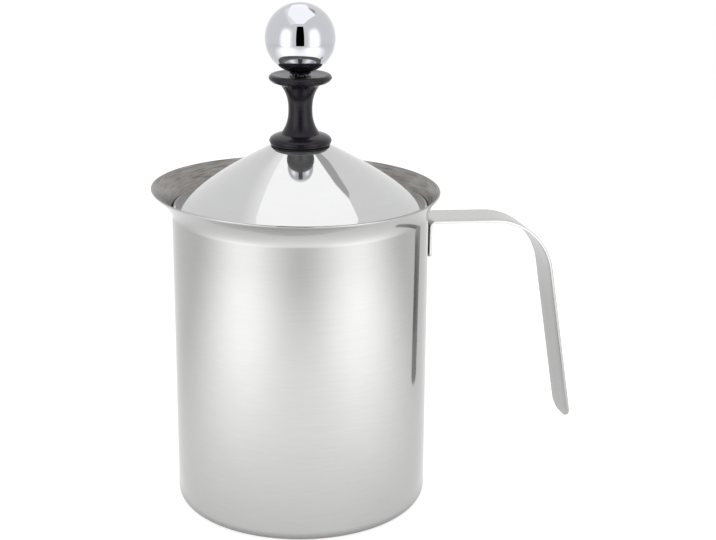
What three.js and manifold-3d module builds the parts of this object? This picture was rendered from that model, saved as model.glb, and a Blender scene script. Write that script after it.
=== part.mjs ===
// Manual milk frother: a steel jug with a pouring lip and a strap handle, a conical lid with a
// black guide spool, and a ball-topped plunger that carries two fine screens.
// Millimetres, +Z up. The origin is on the jug's axis in the plane that it stands on, and the
// handle points along +X.

import * as THREE from 'three';
import * as BufferGeometryUtils from 'three/addons/utils/BufferGeometryUtils.js';
import Module from 'manifold-3d';

// Jug
const jugRadius = 50;
const jugWall = 0.7;
const jugBaseCorner = 4.6;
const throatHeight = 118;
const flareHeight = 8.9;
const flareReach = 4.6;
const flareControlShare = 0.42;
const lipReach = 3.4;
const lipRise = 1.75;
const lipSharpness = 1.94;

// Handle strap, followed from the weld tab up, along the top run and down the drop
const strapWidth = 17.3;
const strapThickness = 1.2;
const strapTopHeight = 113.3;
const strapTopRun = 25.2;
const strapTopFall = THREE.MathUtils.degToRad(2.55);
const strapBendRadius = 26.8;
const strapDropLean = THREE.MathUtils.degToRad(9.3);
const strapDropLength = 67.5;
const strapEndRun = 5;
const strapEndCut = 7;
const tabHeight = 15;
const tabBendRadius = 2.2;
const tabCorner = 2;
const weldGap = 0.3;

// Lid
const lidWall = 0.7;
const lidTopRadius = 11.6;
const lidConeRise = 23.15;
const lidConeBulge = 0.85;
const lidBrim = 0.9;
const lidEdgeOverhang = 0.2;
const lidEdgeThickness = 0.8;
const lidSeatGap = 0.3;
const skirtClearance = 0.45;
const skirtDepth = 8.8;

// Gap between flat faces that rest on each other, and radial gap of a screwed thread
const stackGap = 0.1;
const threadGap = 0.3;

// How far a cutting solid runs past what it cuts
const cutOverrun = 1;

// Rod, and its running clearance in the guide and in the screens' hubs
const rodRadius = 2.5;
const rodClearance = 0.4;
const rodChamfer = 0.4;

// Guide spool and the parts that hold it on the lid
const sealRadius = 11.35;
const sealThickness = 0.5;
const spoolFootRadius = 12.05;
const spoolFootHeight = 4.2;
const spoolNeckRadius = 7.5;
const spoolWaistRadius = 4.62;
const spoolWaistHeight = 18.8;
const spoolWaistPower = 2.4;
const spoolTopRadius = 12.05;
const spoolTopHeight = 4.2;
const bushWall = 1.2;
const bushReach = 6;
const bushTail = 1;
const lidWasherRadius = 8.5;
const lidWasherThickness = 0.9;
const lidNutFlats = 12;
const lidNutHeight = 4;

// Ball knob
const ballRadius = 13.45;
const ballStandoff = 0.35;
const ballFlatRadius = 4.7;
const insertWall = 1.3;
const insertLength = 10;
const insertRestGap = 0.3;
const rodTopShortfall = 0.5;

// Screens
const screenClearance = 1.2;
const netThickness = 0.5;
const netPitch = 10;
const netBar = 2.4;
const netEdgeBand = 0.6;
const netSlotGap = 0.3;
const netGrip = 0.8;
const rimWidth = 2.2;
const rimHeight = 2.4;
const hubHeight = 3;
const hubFlangeRadius = 7;
const hubGrooveRadius = 4.9;

// Spring between the screens
const springRadius = 5;
const springWire = 0.9;
const springLength = 10;
const springTurns = 4;
const springEndBend = 0.9;

// Nuts and washers on the rod
const nutFloorGap = 1.2;
const rodNutFlats = 8;
const stopNutHeight = 3.5;
const capNutHeight = 5;
const capDomeHeight = 1.8;
const rodWasherRadius = 6;
const rodWasherThickness = 0.8;
const rodEndDepth = 3;

// Facets round a circle: the large shells, the small turned parts and the fasteners
const shellFacets = 72;
const lidFacets = 64;
const turnedFacets = 28;
const fastenerFacets = 24;
const rimFacets = 48;
const coilFacets = 8;
const wireSides = 5;

const quarterTurn = Math.PI / 2;
const halfTurn = Math.PI;
const fullTurn = 2 * Math.PI;
const wasm = await Module();
wasm.setup();

const finishes = {
  satinSteel: new THREE.MeshStandardMaterial({ color: 0xc6c7c8, roughness: 0.32, metalness: 1 }),
  mirrorSteel: new THREE.MeshStandardMaterial({ color: 0xdddfe1, roughness: 0.08, metalness: 1 }),
  chrome: new THREE.MeshStandardMaterial({ color: 0xe6e8ea, roughness: 0.04, metalness: 1 }),
  plainSteel: new THREE.MeshStandardMaterial({ color: 0xb9babc, roughness: 0.25, metalness: 1 }),
  blackMoulding: new THREE.MeshStandardMaterial({ color: 0x2b2930, roughness: 0.45, metalness: 0 }),
  blackSeal: new THREE.MeshStandardMaterial({ color: 0x17161a, roughness: 0.6, metalness: 0 }),
};

// Sizes that several pieces share
const boreRadius = jugRadius - jugWall;
const guideBore = rodRadius + rodClearance;
const threadBore = rodRadius + threadGap;

// Shape helpers

// Merges shared vertices and drops the flat triangles that a pole leaves behind.
function sewn(geometry) {
  geometry.deleteAttribute('normal');
  geometry.deleteAttribute('uv');
  const merged = BufferGeometryUtils.mergeVertices(geometry);
  const corners = merged.getIndex().array;
  const kept = [];
  for (let i = 0; i < corners.length; i += 3) {
    const [a, b, c] = corners.slice(i, i + 3);
    if (a !== b && b !== c && c !== a) kept.push(a, b, c);
  }
  merged.setIndex(kept);
  merged.computeVertexNormals();
  return merged;
}

// Turns an outline of [radius, height] points about the Z axis. Seen with the axis on the left,
// the outline runs anticlockwise.
function turned(outline, facets) {
  const points = outline.map(([radius, height]) => new THREE.Vector2(radius, height));
  const geometry = new THREE.LatheGeometry(points, facets);
  geometry.rotateX(quarterTurn);
  return sewn(geometry);
}

function ring(innerRadius, outerRadius, height, facets) {
  return turned([
    [innerRadius, 0],
    [outerRadius, 0],
    [outerRadius, height],
    [innerRadius, height],
    [innerRadius, 0],
  ], facets);
}

// Points [radius, height] on an arc about a centre, between two angles.
function arcPoints(centreRadius, centreHeight, arcRadius, startAngle, endAngle, steps) {
  const points = [];
  for (let i = 0; i <= steps; i += 1) {
    const angle = startAngle + ((endAngle - startAngle) * i) / steps;
    points.push([
      centreRadius + arcRadius * Math.cos(angle),
      centreHeight + arcRadius * Math.sin(angle),
    ]);
  }
  return points;
}

// Closed solid through a row of convex sections, each anticlockwise seen from the far end.
function lofted(sections) {
  const corners = sections[0].length;
  const positions = sections.flat().flatMap((point) => [point.x, point.y, point.z]);
  const indices = [];
  for (let i = 0; i + 1 < sections.length; i += 1) {
    for (let j = 0; j < corners; j += 1) {
      const a = i * corners + j;
      const b = i * corners + ((j + 1) % corners);
      indices.push(a, b, b + corners, a, b + corners, a + corners);
    }
  }
  const last = (sections.length - 1) * corners;
  for (let j = 1; j + 1 < corners; j += 1) {
    indices.push(0, j + 1, j);
    indices.push(last, last + j, last + j + 1);
  }
  const geometry = new THREE.BufferGeometry();
  geometry.setAttribute('position', new THREE.Float32BufferAttribute(positions, 3));
  geometry.setIndex(indices);
  geometry.computeVertexNormals();
  return geometry;
}

// A point that walks over a flat sheet, going straight or turning clockwise or anticlockwise.
// Each station keeps its place, its heading and the way walked.
class Walker {
  constructor(across, up, heading) {
    Object.assign(this, { across, up, heading, walked: 0, stations: [] });
    this.mark();
  }

  mark() {
    const { across, up, heading, walked } = this;
    this.stations.push({ across, up, heading, walked });
  }

  straight(length, stops = [1]) {
    let done = 0;
    for (const stop of stops) {
      const step = length * stop - done;
      this.across += step * Math.cos(this.heading);
      this.up += step * Math.sin(this.heading);
      this.walked += step;
      done += step;
      this.mark();
    }
  }

  bend(radius, angle, steps) {
    const chord = 2 * radius * Math.sin(Math.abs(angle) / steps / 2);
    for (let i = 0; i < steps; i += 1) {
      this.heading += angle / steps / 2;
      this.across += chord * Math.cos(this.heading);
      this.up += chord * Math.sin(this.heading);
      this.heading += angle / steps / 2;
      this.walked += (radius * Math.abs(angle)) / steps;
      this.mark();
    }
  }
}

function toSolid(geometry) {
  return new wasm.Manifold(new wasm.Mesh({
    numProp: 3,
    vertProperties: new Float32Array(geometry.getAttribute('position').array),
    triVerts: new Uint32Array(geometry.getIndex().array),
  }));
}

function toGeometry(solid) {
  const mesh = solid.getMesh();
  const geometry = new THREE.BufferGeometry();
  geometry.setAttribute('position', new THREE.BufferAttribute(mesh.vertProperties, mesh.numProp));
  geometry.setIndex(new THREE.BufferAttribute(mesh.triVerts, 1));
  geometry.computeVertexNormals();
  return geometry;
}

function hexagon(flats) {
  const shape = new THREE.Shape();
  const cornerRadius = flats / Math.sqrt(3);
  for (let i = 0; i < 6; i += 1) {
    const angle = (fullTurn * i) / 6;
    const corner = [cornerRadius * Math.cos(angle), cornerRadius * Math.sin(angle)];
    if (i === 0) shape.moveTo(...corner);
    else shape.lineTo(...corner);
  }
  shape.closePath();
  return shape;
}

function roundHole(radius) {
  const hole = new THREE.Path();
  hole.absarc(0, 0, radius, 0, fullTurn, true);
  return hole;
}

function extruded(shape, height, curveFacets) {
  return sewn(new THREE.ExtrudeGeometry(shape, {
    depth: height,
    bevelEnabled: false,
    curveSegments: curveFacets,
  }));
}

function hexNut(flats, holeRadius, height) {
  const shape = hexagon(flats);
  shape.holes.push(roundHole(holeRadius));
  return extruded(shape, height, fastenerFacets);
}

function piece(name, geometry, material, height = 0) {
  const mesh = new THREE.Mesh(geometry, material);
  mesh.name = name;
  mesh.position.z = height;
  return mesh;
}

function groupAt(height, pieces) {
  const group = new THREE.Group();
  group.position.z = height;
  group.add(...pieces);
  return group;
}

// Jug

// The flare's outside at a share of its way from throat to rim, and the inside one wall away.
const flareCurve = new THREE.QuadraticBezierCurve(
  new THREE.Vector2(jugRadius, throatHeight),
  new THREE.Vector2(jugRadius, throatHeight + flareHeight * flareControlShare),
  new THREE.Vector2(jugRadius + flareReach, throatHeight + flareHeight),
);

function flarePoint(share, depth) {
  const point = flareCurve.getPoint(share);
  const along = flareCurve.getTangent(share);
  return [point.x - depth * along.y, point.y + depth * along.x];
}

function flarePoints(depth, steps) {
  return Array.from({ length: steps + 1 }, (_, i) => flarePoint(i / steps, depth));
}

// Draws the rim out and up into the pouring lip, which points away from the handle.
function drawLip(geometry) {
  const positions = geometry.getAttribute('position');
  for (let i = 0; i < positions.count; i += 1) {
    const [x, y, z] = [positions.getX(i), positions.getY(i), positions.getZ(i)];
    const radius = Math.hypot(x, y);
    const climb = Math.max(0, (z - throatHeight) / flareHeight);
    if (climb > 0) {
      const towardsLip = ((1 - x / radius) / 2) ** lipSharpness;
      const push = towardsLip * climb * climb;
      const stretch = (radius + lipReach * push) / radius;
      positions.setXYZ(i, x * stretch, y * stretch, z + lipRise * push);
    }
  }
  geometry.computeVertexNormals();
  return geometry;
}

function jugShell() {
  const cornerCentre = jugRadius - jugBaseCorner;
  const cornerSteps = 4;
  const flareSteps = 6;
  const outside = [
    [0, 0],
    ...arcPoints(cornerCentre, jugBaseCorner, jugBaseCorner, -quarterTurn, 0, cornerSteps),
    ...flarePoints(0, flareSteps),
  ];
  const inside = [
    ...flarePoints(jugWall, flareSteps).reverse(),
    ...arcPoints(cornerCentre, jugBaseCorner, jugBaseCorner - jugWall, 0, -quarterTurn, cornerSteps),
    [0, jugWall],
  ];
  return drawLip(turned([...outside, ...inside], shellFacets));
}

// Stops along a straight stretch that ends in rounded corners, as shares of its length.
function cornerStops(length, corner, atStart) {
  const steps = 5;
  const stops = [];
  for (let i = 1; i <= steps; i += 1) {
    const inset = (corner * (1 - Math.cos((quarterTurn * i) / steps))) / length;
    stops.push(atStart ? inset : 1 - inset);
  }
  return atStart ? [...stops, 1] : [...stops.reverse(), 1];
}

// How much a rounded end takes off each side at a distance from that end.
function endCut(distance, run, depth) {
  if (distance >= run) return 0;
  return depth * (1 - Math.sqrt(1 - (1 - distance / run) ** 2));
}

function handleStrap() {
  const tabStraight = tabHeight - tabBendRadius;
  const walker = new Walker(jugRadius + weldGap, strapTopHeight - tabHeight, quarterTurn);
  walker.straight(tabStraight, cornerStops(tabStraight, tabCorner, true));
  walker.bend(tabBendRadius, -(quarterTurn + strapTopFall), 5);
  walker.straight(strapTopRun);
  walker.bend(strapBendRadius, strapTopFall + strapDropLean - quarterTurn, 14);
  walker.straight(strapDropLength, cornerStops(strapDropLength, strapEndRun, false));
  const wholeLength = walker.walked;
  return lofted(walker.stations.map(({ across, up, heading, walked }) => {
    const tabCut = endCut(walked, tabCorner, tabCorner);
    const side = strapWidth / 2 - tabCut - endCut(wholeLength - walked, strapEndRun, strapEndCut);
    const inner = {
      across: across + strapThickness * Math.sin(heading),
      up: up - strapThickness * Math.cos(heading),
    };
    return [
      new THREE.Vector3(across, -side, up),
      new THREE.Vector3(inner.across, -side, inner.up),
      new THREE.Vector3(inner.across, side, inner.up),
      new THREE.Vector3(across, side, up),
    ];
  }));
}

// Lid, measured from the underside of its seating edge

const lidEdgeRadius = boreRadius + lidEdgeOverhang;
const coneFootRadius = lidEdgeRadius - lidBrim;

// Height at which the flare's inside is as wide as the lid's edge and its seating gap.
function lidSeatHeight() {
  let [low, high] = [0, 1];
  for (let pass = 0; pass < 40; pass += 1) {
    const middle = (low + high) / 2;
    if (flarePoint(middle, jugWall)[0] < lidEdgeRadius + lidSeatGap) low = middle;
    else high = middle;
  }
  return flarePoint(high, jugWall)[1];
}

const lidSeat = lidSeatHeight();
const lidTop = lidEdgeThickness + lidConeRise;
const bushRadius = guideBore + bushWall;
const bushHole = bushRadius + threadGap;

// Points down a bulged cone from its upper to its lower end.
function bulgedCone(upper, lower, bulge, steps) {
  const top = new THREE.Vector2(...upper);
  const bottom = new THREE.Vector2(...lower);
  const along = bottom.clone().sub(top).normalize();
  const control = top.clone().add(bottom).multiplyScalar(1 / 2);
  control.add(new THREE.Vector2(-along.y, along.x).multiplyScalar(2 * bulge));
  const curve = new THREE.QuadraticBezierCurve(top, control, bottom);
  return curve.getPoints(steps).map((point) => [point.x, point.y]);
}

function lidCone() {
  const coneSteps = 6;
  const skirtOutside = boreRadius - skirtClearance;
  const skirtInside = skirtOutside - lidWall;
  const slope = Math.atan2(lidConeRise, coneFootRadius - lidTopRadius);
  const undersideEnd = lidEdgeThickness + (coneFootRadius - skirtInside) * Math.tan(slope)
    - lidWall / Math.cos(slope);
  const topInside = [lidTopRadius - lidWall * Math.tan(slope / 2), lidTop - lidWall];
  const outsideCone = bulgedCone(
    [lidTopRadius, lidTop],
    [coneFootRadius, lidEdgeThickness],
    lidConeBulge,
    coneSteps,
  );
  const insideCone = bulgedCone(topInside, [skirtInside, undersideEnd], lidConeBulge, coneSteps);
  return turned([
    [skirtInside, -skirtDepth],
    [skirtOutside, -skirtDepth],
    [skirtOutside, 0],
    [lidEdgeRadius, 0],
    [lidEdgeRadius, lidEdgeThickness],
    ...outsideCone.reverse(),
    [bushHole, lidTop],
    [bushHole, lidTop - lidWall],
    ...insideCone,
    [skirtInside, -skirtDepth],
  ], lidFacets);
}

const sealBase = lidTop + stackGap;
const spoolBase = sealBase + sealThickness + stackGap;
const spoolHeight = spoolFootHeight + spoolWaistHeight + spoolTopHeight;
const lidWasherBase = lidTop - lidWall - stackGap - lidWasherThickness;
const lidNutBase = lidWasherBase - stackGap - lidNutHeight;
const bushBase = lidNutBase - bushTail;
const bushTop = spoolBase + bushReach;

// The foot's and the top flange's outlines: [share of the flange's radius, share of its height].
const spoolFootShares = [[0.87, 0], [0.955, 0.06], [1, 0.32], [0.98, 0.53], [0.92, 0.7], [0.82, 0.84]];
const spoolTopShares = [[0.74, 0.17], [0.9, 0.32], [1, 0.61], [0.99, 0.8], [0.945, 0.94], [0.87, 1]];

function waistPoints(steps) {
  const halfHeight = spoolWaistHeight / 2;
  const flareOut = spoolNeckRadius - spoolWaistRadius;
  return Array.from({ length: steps + 1 }, (_, i) => {
    const along = (2 * i) / steps - 1;
    const radius = spoolWaistRadius + flareOut * Math.abs(along) ** spoolWaistPower;
    return [radius, spoolFootHeight + halfHeight * (1 + along)];
  });
}

function guideSpool() {
  const socketTop = bushTop - spoolBase + threadGap;
  const topBase = spoolFootHeight + spoolWaistHeight;
  const waistSteps = 10;
  return turned([
    [bushHole, 0],
    ...spoolFootShares.map(([r, h]) => [r * spoolFootRadius, h * spoolFootHeight]),
    ...waistPoints(waistSteps),
    ...spoolTopShares.map(([r, h]) => [r * spoolTopRadius, topBase + h * spoolTopHeight]),
    [guideBore, spoolHeight],
    [guideBore, socketTop],
    [bushHole, socketTop],
    [bushHole, 0],
  ], turnedFacets);
}

function makeLid() {
  return groupAt(lidSeat, [
    piece('lid_cone', lidCone(), finishes.mirrorSteel),
    piece(
      'guide_seal',
      ring(bushHole, sealRadius, sealThickness, turnedFacets),
      finishes.blackSeal,
      sealBase,
    ),
    piece('guide_spool', guideSpool(), finishes.blackMoulding, spoolBase),
    piece(
      'guide_bush',
      ring(guideBore, bushRadius, bushTop - bushBase, fastenerFacets),
      finishes.plainSteel,
      bushBase,
    ),
    piece(
      'lid_washer',
      ring(bushHole, lidWasherRadius, lidWasherThickness, fastenerFacets),
      finishes.plainSteel,
      lidWasherBase,
    ),
    piece('lid_nut', hexNut(lidNutFlats, bushHole, lidNutHeight), finishes.plainSteel, lidNutBase),
  ]);
}

// Ball knob, measured from the ball's centre

const spoolTop = lidSeat + spoolBase + spoolHeight;
const ballCentre = spoolTop + ballStandoff + ballRadius;
const insertRadius = threadBore + insertWall;
const insertBase = spoolTop + insertRestGap - ballCentre;

function ballKnob() {
  const socketRadius = insertRadius + threadGap;
  const socketTop = insertBase + insertLength + threadGap;
  const flatAngle = -Math.acos(ballFlatRadius / ballRadius);
  const ballSteps = 15;
  const outside = arcPoints(0, 0, ballRadius, flatAngle, quarterTurn, ballSteps);
  outside[ballSteps] = [0, ballRadius];
  return turned([
    [0, socketTop],
    [socketRadius, socketTop],
    [socketRadius, ballRadius * Math.sin(flatAngle)],
    ...outside,
  ], turnedFacets);
}

function makeKnob() {
  return groupAt(ballCentre, [
    piece('ball_knob', ballKnob(), finishes.chrome),
    piece(
      'knob_insert',
      ring(threadBore, insertRadius, insertLength, fastenerFacets),
      finishes.blackMoulding,
      insertBase,
    ),
  ]);
}

// Plunger's lower end, measured from the jug's inside floor

const capNutBase = nutFloorGap;
const lowerWasherBase = capNutBase + capNutHeight + stackGap;
const lowerHubBase = lowerWasherBase + rodWasherThickness + stackGap;
const springBase = lowerHubBase + hubHeight + stackGap;
const upperHubBase = springBase + springLength + stackGap;
const upperWasherBase = upperHubBase + hubHeight + stackGap;
const stopNutBase = upperWasherBase + rodWasherThickness + stackGap;
const rodBottom = capNutBase + capNutHeight - rodEndDepth;

const rimRadius = boreRadius - screenClearance;
const netRadius = rimRadius - rimWidth + netGrip;
const netHoleRadius = hubGrooveRadius + netSlotGap;

function plungerRod() {
  const rodTop = ballCentre + insertBase + insertLength - rodTopShortfall - jugWall;
  const length = rodTop - rodBottom;
  return turned([
    [0, 0],
    [rodRadius - rodChamfer, 0],
    [rodRadius, rodChamfer],
    [rodRadius, length - rodChamfer],
    [rodRadius - rodChamfer, length],
    [0, length],
  ], fastenerFacets);
}

// Flat net: a disc with square gaps wherever a whole gap fits between hub and rim.
function screenNet() {
  const side = netPitch - netBar;
  const reach = Math.floor(netRadius / netPitch);
  const gaps = [];
  for (let i = -reach; i <= reach; i += 1) {
    for (let j = -reach; j <= reach; j += 1) {
      const [x, y] = [i * netPitch, j * netPitch];
      const [farX, farY] = [Math.abs(x) + side / 2, Math.abs(y) + side / 2];
      const clearOfRim = Math.hypot(farX, farY) < rimRadius - rimWidth - netEdgeBand;
      const nearest = Math.max(farX, farY) - side;
      const clearOfHub = nearest > netHoleRadius + netEdgeBand;
      if (clearOfRim && clearOfHub) {
        const gap = new THREE.BoxGeometry(side, side, netThickness + 2 * cutOverrun);
        gaps.push(gap.translate(x, y, netThickness / 2));
      }
    }
  }
  const disc = toSolid(ring(netHoleRadius, netRadius, netThickness, rimFacets));
  return toGeometry(disc.subtract(toSolid(sewn(BufferGeometryUtils.mergeGeometries(gaps)))));
}

// A ring that grips the net in a slot half-way up. The slot is open towards the net.
function slottedRing(netSide, slotEnd, farSide, height, facets) {
  const slotBottom = (height - netThickness) / 2 - netSlotGap;
  const slotTop = height - slotBottom;
  const outline = [
    [netSide, 0],
    [farSide, 0],
    [farSide, height],
    [netSide, height],
    [netSide, slotTop],
    [slotEnd, slotTop],
    [slotEnd, slotBottom],
    [netSide, slotBottom],
    [netSide, 0],
  ];
  return turned(netSide < farSide ? outline : outline.reverse(), facets);
}

function screenPieces(prefix, hubBase) {
  const middle = hubBase + hubHeight / 2;
  return [
    piece(`${prefix}_screen_net`, screenNet(), finishes.plainSteel, middle - netThickness / 2),
    piece(
      `${prefix}_screen_rim`,
      slottedRing(rimRadius - rimWidth, netRadius + netSlotGap, rimRadius, rimHeight, rimFacets),
      finishes.plainSteel,
      middle - rimHeight / 2,
    ),
    piece(
      `${prefix}_screen_hub`,
      slottedRing(hubFlangeRadius, hubGrooveRadius, guideBore, hubHeight, fastenerFacets),
      finishes.plainSteel,
      hubBase,
    ),
  ];
}

// The spring's wire on the sheet that wraps its middle cylinder: straight up out of the lower
// hub, over into the coils, and straight up again into the upper hub.
function springWalk() {
  const around = fullTurn * springRadius * springTurns;
  let slope = 0;
  for (let pass = 0; pass < 20; pass += 1) {
    const rise = springLength - 2 * springWire - 2 * springEndBend * Math.cos(slope);
    const run = around - 2 * springEndBend * (1 - Math.sin(slope));
    slope = Math.atan2(rise, run);
  }
  const run = around - 2 * springEndBend * (1 - Math.sin(slope));
  const steps = springTurns * coilFacets;
  const stops = Array.from({ length: steps }, (_, i) => (i + 1) / steps);
  const walker = new Walker(0, 0, quarterTurn);
  walker.straight(springWire);
  walker.bend(springEndBend, slope - quarterTurn, 3);
  walker.straight(run / Math.cos(slope), stops);
  walker.bend(springEndBend, quarterTurn - slope, 3);
  walker.straight(springWire);
  return walker.stations;
}

function springCentres(stations) {
  return stations.map(({ across, up }) => {
    const angle = across / springRadius;
    return new THREE.Vector3(springRadius * Math.cos(angle), springRadius * Math.sin(angle), up);
  });
}

// Least gap between two stretches of the wire that lie over half a turn apart along it.
function leastSpringGap(stations, centres) {
  let least = Infinity;
  const halfCoil = halfTurn * springRadius;
  for (let i = 0; i < centres.length; i += 1) {
    for (let j = i + 1; j < centres.length; j += 1) {
      if (stations[j].walked - stations[i].walked > halfCoil) {
        least = Math.min(least, centres[i].distanceTo(centres[j]) - springWire);
      }
    }
  }
  return least;
}

function screenSpring() {
  const stations = springWalk();
  const centres = springCentres(stations);
  console.log(`least gap of the spring to itself: ${leastSpringGap(stations, centres).toFixed(2)} mm`);
  return lofted(stations.map(({ across, heading }, i) => {
    const angle = across / springRadius;
    const outward = new THREE.Vector3(Math.cos(angle), Math.sin(angle), 0);
    const around = new THREE.Vector3(-Math.sin(angle), Math.cos(angle), 0);
    const along = around.multiplyScalar(Math.cos(heading)).setZ(Math.sin(heading));
    const sideways = new THREE.Vector3().crossVectors(along, outward);
    return Array.from({ length: wireSides }, (_, k) => {
      const turn = (fullTurn * k) / wireSides;
      return centres[i].clone()
        .addScaledVector(outward, (springWire / 2) * Math.cos(turn))
        .addScaledVector(sideways, (springWire / 2) * Math.sin(turn));
    });
  }));
}

// Hexagon nut closed by a dome underneath, bored from above.
function capNut() {
  const hexHeight = capNutHeight - capDomeHeight;
  const hex = extruded(hexagon(rodNutFlats), hexHeight, fastenerFacets);
  hex.translate(0, 0, capDomeHeight);
  const domeSteps = 4;
  const domeOutline = arcPoints(0, 0, 1, -quarterTurn, 0, domeSteps).map(([across, up]) => [
    across * (rodNutFlats / 2 - stackGap),
    (up + 1) * capDomeHeight,
  ]);
  domeOutline[0][0] = 0;
  const domeTop = capDomeHeight + hexHeight / 2;
  const dome = turned([
    ...domeOutline,
    [rodNutFlats / 2 - stackGap, domeTop],
    [0, domeTop],
  ], fastenerFacets);
  const boreDepth = rodEndDepth + threadGap;
  const bore = turned([
    [0, capNutHeight - boreDepth],
    [threadBore, capNutHeight - boreDepth],
    [threadBore, capNutHeight + cutOverrun],
    [0, capNutHeight + cutOverrun],
  ], fastenerFacets);
  return toGeometry(toSolid(hex).add(toSolid(dome)).subtract(toSolid(bore)));
}

function makePlunger() {
  const rodNut = hexNut(rodNutFlats, threadBore, stopNutHeight);
  const rodWasher = () => ring(guideBore, rodWasherRadius, rodWasherThickness, fastenerFacets);
  return groupAt(jugWall, [
    piece('plunger_rod', plungerRod(), finishes.plainSteel, rodBottom),
    piece('stop_nut', rodNut, finishes.plainSteel, stopNutBase),
    piece('upper_washer', rodWasher(), finishes.plainSteel, upperWasherBase),
    ...screenPieces('upper', upperHubBase),
    piece('screen_spring', screenSpring(), finishes.plainSteel, springBase),
    ...screenPieces('lower', lowerHubBase),
    piece('lower_washer', rodWasher(), finishes.plainSteel, lowerWasherBase),
    piece('cap_nut', capNut(), finishes.plainSteel, capNutBase),
  ]);
}

const frother = new THREE.Group();
frother.add(
  piece('jug_shell', jugShell(), finishes.satinSteel),
  piece('handle_strap', handleStrap(), finishes.satinSteel),
  makeLid(),
  makeKnob(),
  makePlunger(),
);

export default frother;
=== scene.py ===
# Looks for the milk frother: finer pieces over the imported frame, their finishes, light and camera.
# Sizes in the dictionaries are millimetres, +Z up, handle along +X, as in the part's source.
import math

import bpy
from mathutils import Matrix, Vector


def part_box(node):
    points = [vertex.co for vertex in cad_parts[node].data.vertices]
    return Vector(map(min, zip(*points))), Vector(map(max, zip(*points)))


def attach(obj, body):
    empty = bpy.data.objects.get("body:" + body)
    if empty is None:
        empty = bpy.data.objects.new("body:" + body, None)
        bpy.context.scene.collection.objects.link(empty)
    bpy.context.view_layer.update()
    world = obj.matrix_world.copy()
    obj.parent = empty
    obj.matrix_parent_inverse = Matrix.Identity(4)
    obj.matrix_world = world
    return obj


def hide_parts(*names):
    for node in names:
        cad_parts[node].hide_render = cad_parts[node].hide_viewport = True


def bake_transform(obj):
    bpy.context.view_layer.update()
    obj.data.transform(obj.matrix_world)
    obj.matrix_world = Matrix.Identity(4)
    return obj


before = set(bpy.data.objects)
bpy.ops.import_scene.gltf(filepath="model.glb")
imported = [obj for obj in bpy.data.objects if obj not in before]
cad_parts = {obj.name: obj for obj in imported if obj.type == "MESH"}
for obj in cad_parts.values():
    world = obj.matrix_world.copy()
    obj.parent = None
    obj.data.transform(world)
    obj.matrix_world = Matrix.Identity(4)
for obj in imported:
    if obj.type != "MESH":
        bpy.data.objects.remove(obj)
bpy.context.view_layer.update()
scene = bpy.context.scene
mm = 0.001
onAxis = 1e-6
quarterTurn = math.pi / 2
smoothAngle = 32
print("frame ready, nodes:", len(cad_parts))


# The heights at which a node begins and ends.
def endsOf(node):
    low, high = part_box(node)
    return low.z / mm, high.z / mm


# A sum of two fields, or of a field and a number, adds one maths node to the field's tree.
def sumOf(operation, turned=False):
    def combine(field, other):
        return calc(field.tree, operation, *((other, field) if turned else (field, other)))
    return combine


# A node's output, which can be added, multiplied and so on.
class Field:
    def __init__(self, tree, socket):
        self.tree, self.socket = tree, socket

    __add__ = sumOf("ADD")
    __mul__ = sumOf("MULTIPLY")
    __sub__ = sumOf("SUBTRACT")
    __rsub__ = sumOf("SUBTRACT", turned=True)
    __truediv__ = sumOf("DIVIDE")
    __pow__ = sumOf("POWER")


# Adds a node and gives one of its outputs. An input is a field to link, a list of them, or a value.
def addNode(tree, kind, inputs=None, output=0, **settings):
    node = tree.nodes.new(kind)
    for key, value in settings.items():
        setattr(node, key, value)
    for key, value in (inputs or {}).items():
        for part in value if isinstance(value, list) else [value]:
            if isinstance(part, Field):
                tree.links.new(part.socket, node.inputs[key])
            else:
                node.inputs[key].default_value = part
    return Field(tree, node.outputs[output]) if node.outputs else None


def calc(tree, operation, *values):
    return addNode(tree, "ShaderNodeMath", dict(enumerate(values)), operation=operation)


def splitVector(vector):
    parts = addNode(vector.tree, "ShaderNodeSeparateXYZ", {0: vector})
    return [Field(vector.tree, socket) for socket in parts.socket.node.outputs]


def joinVector(tree, x, y, z):
    return addNode(tree, "ShaderNodeCombineXYZ", {0: x, 1: y, 2: z})


def fitRange(value, low, high, newLow, newHigh, kind="LINEAR"):
    inputs = {0: value, 1: low, 2: high, 3: newLow, 4: newHigh}
    return addNode(value.tree, "ShaderNodeMapRange", inputs, interpolation_type=kind)


def eased(value, low, high, newLow=0, newHigh=1):
    return fitRange(value, low, high, newLow, newHigh, "SMOOTHSTEP")


def axisRadius(x, y):
    return calc(x.tree, "SQRT", x * x + y * y)


# A shape tree. Its inputs have the names of a piece's sizes, and are returned as fields beside it.
def newShapeTree(name, lengths, numbers=(), counts=(), finishes=("finish",)):
    tree = bpy.data.node_groups.new(name, "GeometryNodeTree")
    tree.interface.new_socket("Geometry", in_out="INPUT", socket_type="NodeSocketGeometry")
    for label in (*lengths, *numbers, *counts, *finishes):
        kind = "Int" if label in counts else "Material" if label in finishes else "Float"
        socket = tree.interface.new_socket(label, in_out="INPUT", socket_type="NodeSocket" + kind)
        if label in lengths:
            socket.subtype = "DISTANCE"
    tree.interface.new_socket("Geometry", in_out="OUTPUT", socket_type="NodeSocketGeometry")
    sockets = tree.nodes.new("NodeGroupInput").outputs
    return tree, {socket.name: Field(tree, socket) for socket in sockets}


def endTree(tree, start, geometry, second=None, where=None):
    real = addNode(tree, "GeometryNodeRealizeInstances", {0: geometry})
    painted = addNode(tree, "GeometryNodeSetMaterial", {"Geometry": real, "Material": start["finish"]})
    if second:
        inputs = {"Geometry": painted, "Selection": where, "Material": start[second]}
        painted = addNode(tree, "GeometryNodeSetMaterial", inputs)
    addNode(tree, "NodeGroupOutput", {0: painted})
    return tree


def movedBy(tree, geometry, offset):
    return addNode(tree, "GeometryNodeSetPosition", {"Geometry": geometry, "Offset": offset})


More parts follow.
